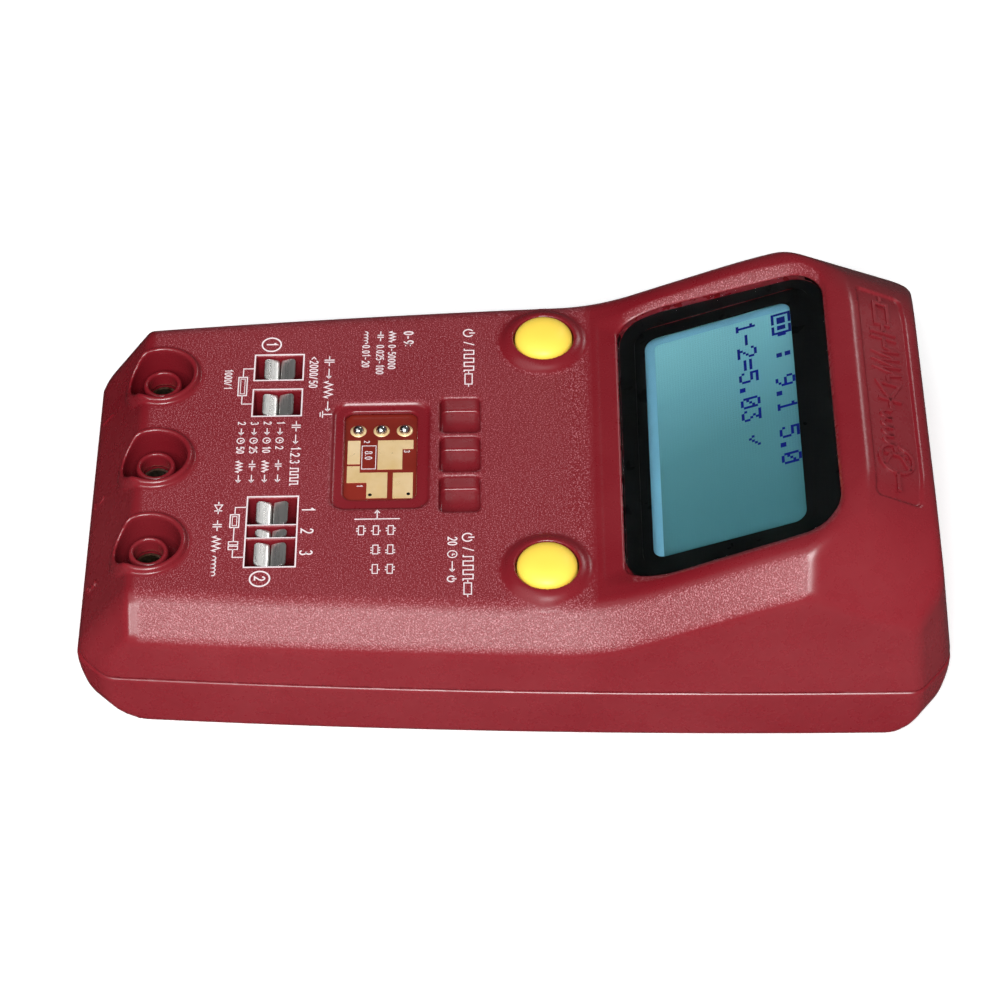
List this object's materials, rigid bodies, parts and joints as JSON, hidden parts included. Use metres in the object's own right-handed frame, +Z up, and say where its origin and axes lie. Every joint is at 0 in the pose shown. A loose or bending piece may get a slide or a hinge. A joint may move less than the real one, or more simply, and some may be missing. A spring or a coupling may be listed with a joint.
{
  "type": "handheld electronic component tester",
  "caption": "Handheld component tester with a tilted display end, two push buttons, contact ports, part pockets and shrouded test jacks, holding a 9 V battery.",
  "frame": {"origin": "on the resting surface, under the middle of the case's length and width", "axes": "+Z up out of the operating face, +Y along the length towards the raised display end, +X to the right for a user who reads the display"},
  "size_m": [0.0824, 0.1414, 0.0406],
  "materials": {
    "shell_plastic": "crimson moulded ABS, fine stipple on the face and bevels, satin sides",
    "door_plastic": "crimson moulded ABS, satin",
    "display_lens": "clear acrylic window",
    "black_print": "gloss black printed surround",
    "lcd_glass": "liquid-crystal glass, pale blue",
    "backlight": "white diffuser block",
    "zinc_steel": "pressed steel frame",
    "board_green": "solder-masked fibreglass",
    "board_red": "red solder-masked fibreglass with gold pads",
    "black_plastic": "black moulded plastic",
    "can_steel": "drawn steel can",
    "capacitor_sleeve": "blue heat-shrink sleeve",
    "resistor_coat": "pale blue lacquer",
    "battery_case": "printed steel jacket",
    "red_insulation": "PVC insulation",
    "black_insulation": "PVC insulation",
    "button_yellow": "gloss yellow ABS",
    "jack_brass": "turned brass",
    "solder": "bright solder",
    "screw_steel": "zinc-plated steel",
    "contact_nickel": "nickel-plated spring bronze"
  },
  "bodies": {
    "case": {"upper_shell": "shell_plastic", "lower_shell": "shell_plastic", "display_lens": "display_lens", "display_mask": "black_print", "lcd_glass": "lcd_glass", "lcd_backlight": "backlight", "lcd_frame": "zinc_steel", "lcd_board": "board_green", "jack_sleeve_1": "jack_brass", "jack_sleeve_2": "jack_brass", "jack_sleeve_3": "jack_brass", "smd_test_board": "board_red", "smd_pin_1": "solder", "smd_pin_2": "solder", "smd_pin_3": "solder", "switch_body_left": "black_plastic", "switch_body_right": "black_plastic", "main_board": "board_green", "microcontroller": "black_plastic", "crystal": "can_steel", "voltage_regulator": "black_plastic", "capacitor_1": "capacitor_sleeve", "capacitor_2": "capacitor_sleeve", "discharge_resistor": "resistor_coat", "display_header": "black_plastic", "battery_9v": "battery_case", "battery_snap": "black_plastic", "battery_lead_red": "red_insulation", "battery_lead_black": "black_insulation", "case_screw_1": "screw_steel", "case_screw_2": "screw_steel", "case_screw_3": "screw_steel", "case_screw_4": "screw_steel", "board_screw_1": "screw_steel", "board_screw_2": "screw_steel", "board_screw_3": "screw_steel", "board_screw_4": "screw_steel"},
    "button_left": {"button_cap_left": "button_yellow", "switch_plunger_left": "black_plastic"},
    "button_right": {"button_cap_right": "button_yellow", "switch_plunger_right": "black_plastic"},
    "battery_door": {"battery_door": "door_plastic"},
    "contact_1a_near": {"contact_1a_near": "contact_nickel"},
    "contact_1a_far": {"contact_1a_far": "contact_nickel"},
    "contact_1b_near": {"contact_1b_near": "contact_nickel"},
    "contact_1b_far": {"contact_1b_far": "contact_nickel"},
    "contact_2a_near": {"contact_2a_near": "contact_nickel"},
    "contact_2a_far": {"contact_2a_far": "contact_nickel"},
    "contact_2b_near": {"contact_2b_near": "contact_nickel"},
    "contact_2b_far": {"contact_2b_far": "contact_nickel"},
    "contact_2c_near": {"contact_2c_near": "contact_nickel"},
    "contact_2c_far": {"contact_2c_far": "contact_nickel"}
  },
  "joints": [
    {"name": "button_left_press", "type": "slide", "parent": "case", "child": "button_left", "axis": [0, 0, -1], "range_m": [0, 0.0008], "stiffness_N_per_m": 1500, "springref_m": -0.0004},
    {"name": "button_right_press", "type": "slide", "parent": "case", "child": "button_right", "axis": [0, 0, -1], "range_m": [0, 0.0008], "stiffness_N_per_m": 1500, "springref_m": -0.0004},
    {"name": "battery_door_swing", "type": "hinge", "parent": "case", "child": "battery_door", "pos_m": [0, 0.05875, 0], "axis": [1, 0, 0], "range_deg": [0, 60]},
    {"name": "contact_1a_near_flex", "type": "hinge", "parent": "case", "child": "contact_1a_near", "pos_m": [-0.02063, -0.03889, 0.0153], "axis": [1, 0, 0], "range_deg": [0, 4], "stiffness_Nm_per_rad": 0.08, "springref_deg": -1.15},
    {"name": "contact_1a_far_flex", "type": "hinge", "parent": "case", "child": "contact_1a_far", "pos_m": [-0.02063, -0.03865, 0.0153], "axis": [-1, 0, 0], "range_deg": [0, 4], "stiffness_Nm_per_rad": 0.08, "springref_deg": -1.15},
    {"name": "contact_1b_near_flex", "type": "hinge", "parent": "case", "child": "contact_1b_near", "pos_m": [-0.01235, -0.03889, 0.0153], "axis": [1, 0, 0], "range_deg": [0, 4], "stiffness_Nm_per_rad": 0.08, "springref_deg": -1.15},
    {"name": "contact_1b_far_flex", "type": "hinge", "parent": "case", "child": "contact_1b_far", "pos_m": [-0.01235, -0.03865, 0.0153], "axis": [-1, 0, 0], "range_deg": [0, 4], "stiffness_Nm_per_rad": 0.08, "springref_deg": -1.15},
    {"name": "contact_2a_near_flex", "type": "hinge", "parent": "case", "child": "contact_2a_near", "pos_m": [0.0122, -0.03889, 0.0153], "axis": [1, 0, 0], "range_deg": [0, 4], "stiffness_Nm_per_rad": 0.08, "springref_deg": -1.15},
    {"name": "contact_2a_far_flex", "type": "hinge", "parent": "case", "child": "contact_2a_far", "pos_m": [0.0122, -0.03865, 0.0153], "axis": [-1, 0, 0], "range_deg": [0, 4], "stiffness_Nm_per_rad": 0.08, "springref_deg": -1.15},
    {"name": "contact_2b_near_flex", "type": "hinge", "parent": "case", "child": "contact_2b_near", "pos_m": [0.01675, -0.03889, 0.0153], "axis": [1, 0, 0], "range_deg": [0, 4], "stiffness_Nm_per_rad": 0.08, "springref_deg": -1.15},
    {"name": "contact_2b_far_flex", "type": "hinge", "parent": "case", "child": "contact_2b_far", "pos_m": [0.01675, -0.03865, 0.0153], "axis": [-1, 0, 0], "range_deg": [0, 4], "stiffness_Nm_per_rad": 0.08, "springref_deg": -1.15},
    {"name": "contact_2c_near_flex", "type": "hinge", "parent": "case", "child": "contact_2c_near", "pos_m": [0.0213, -0.03889, 0.0153], "axis": [1, 0, 0], "range_deg": [0, 4], "stiffness_Nm_per_rad": 0.08, "springref_deg": -1.15},
    {"name": "contact_2c_far_flex", "type": "hinge", "parent": "case", "child": "contact_2c_far", "pos_m": [0.0213, -0.03865, 0.0153], "axis": [-1, 0, 0], "range_deg": [0, 4], "stiffness_Nm_per_rad": 0.08, "springref_deg": -1.15}
  ]
}
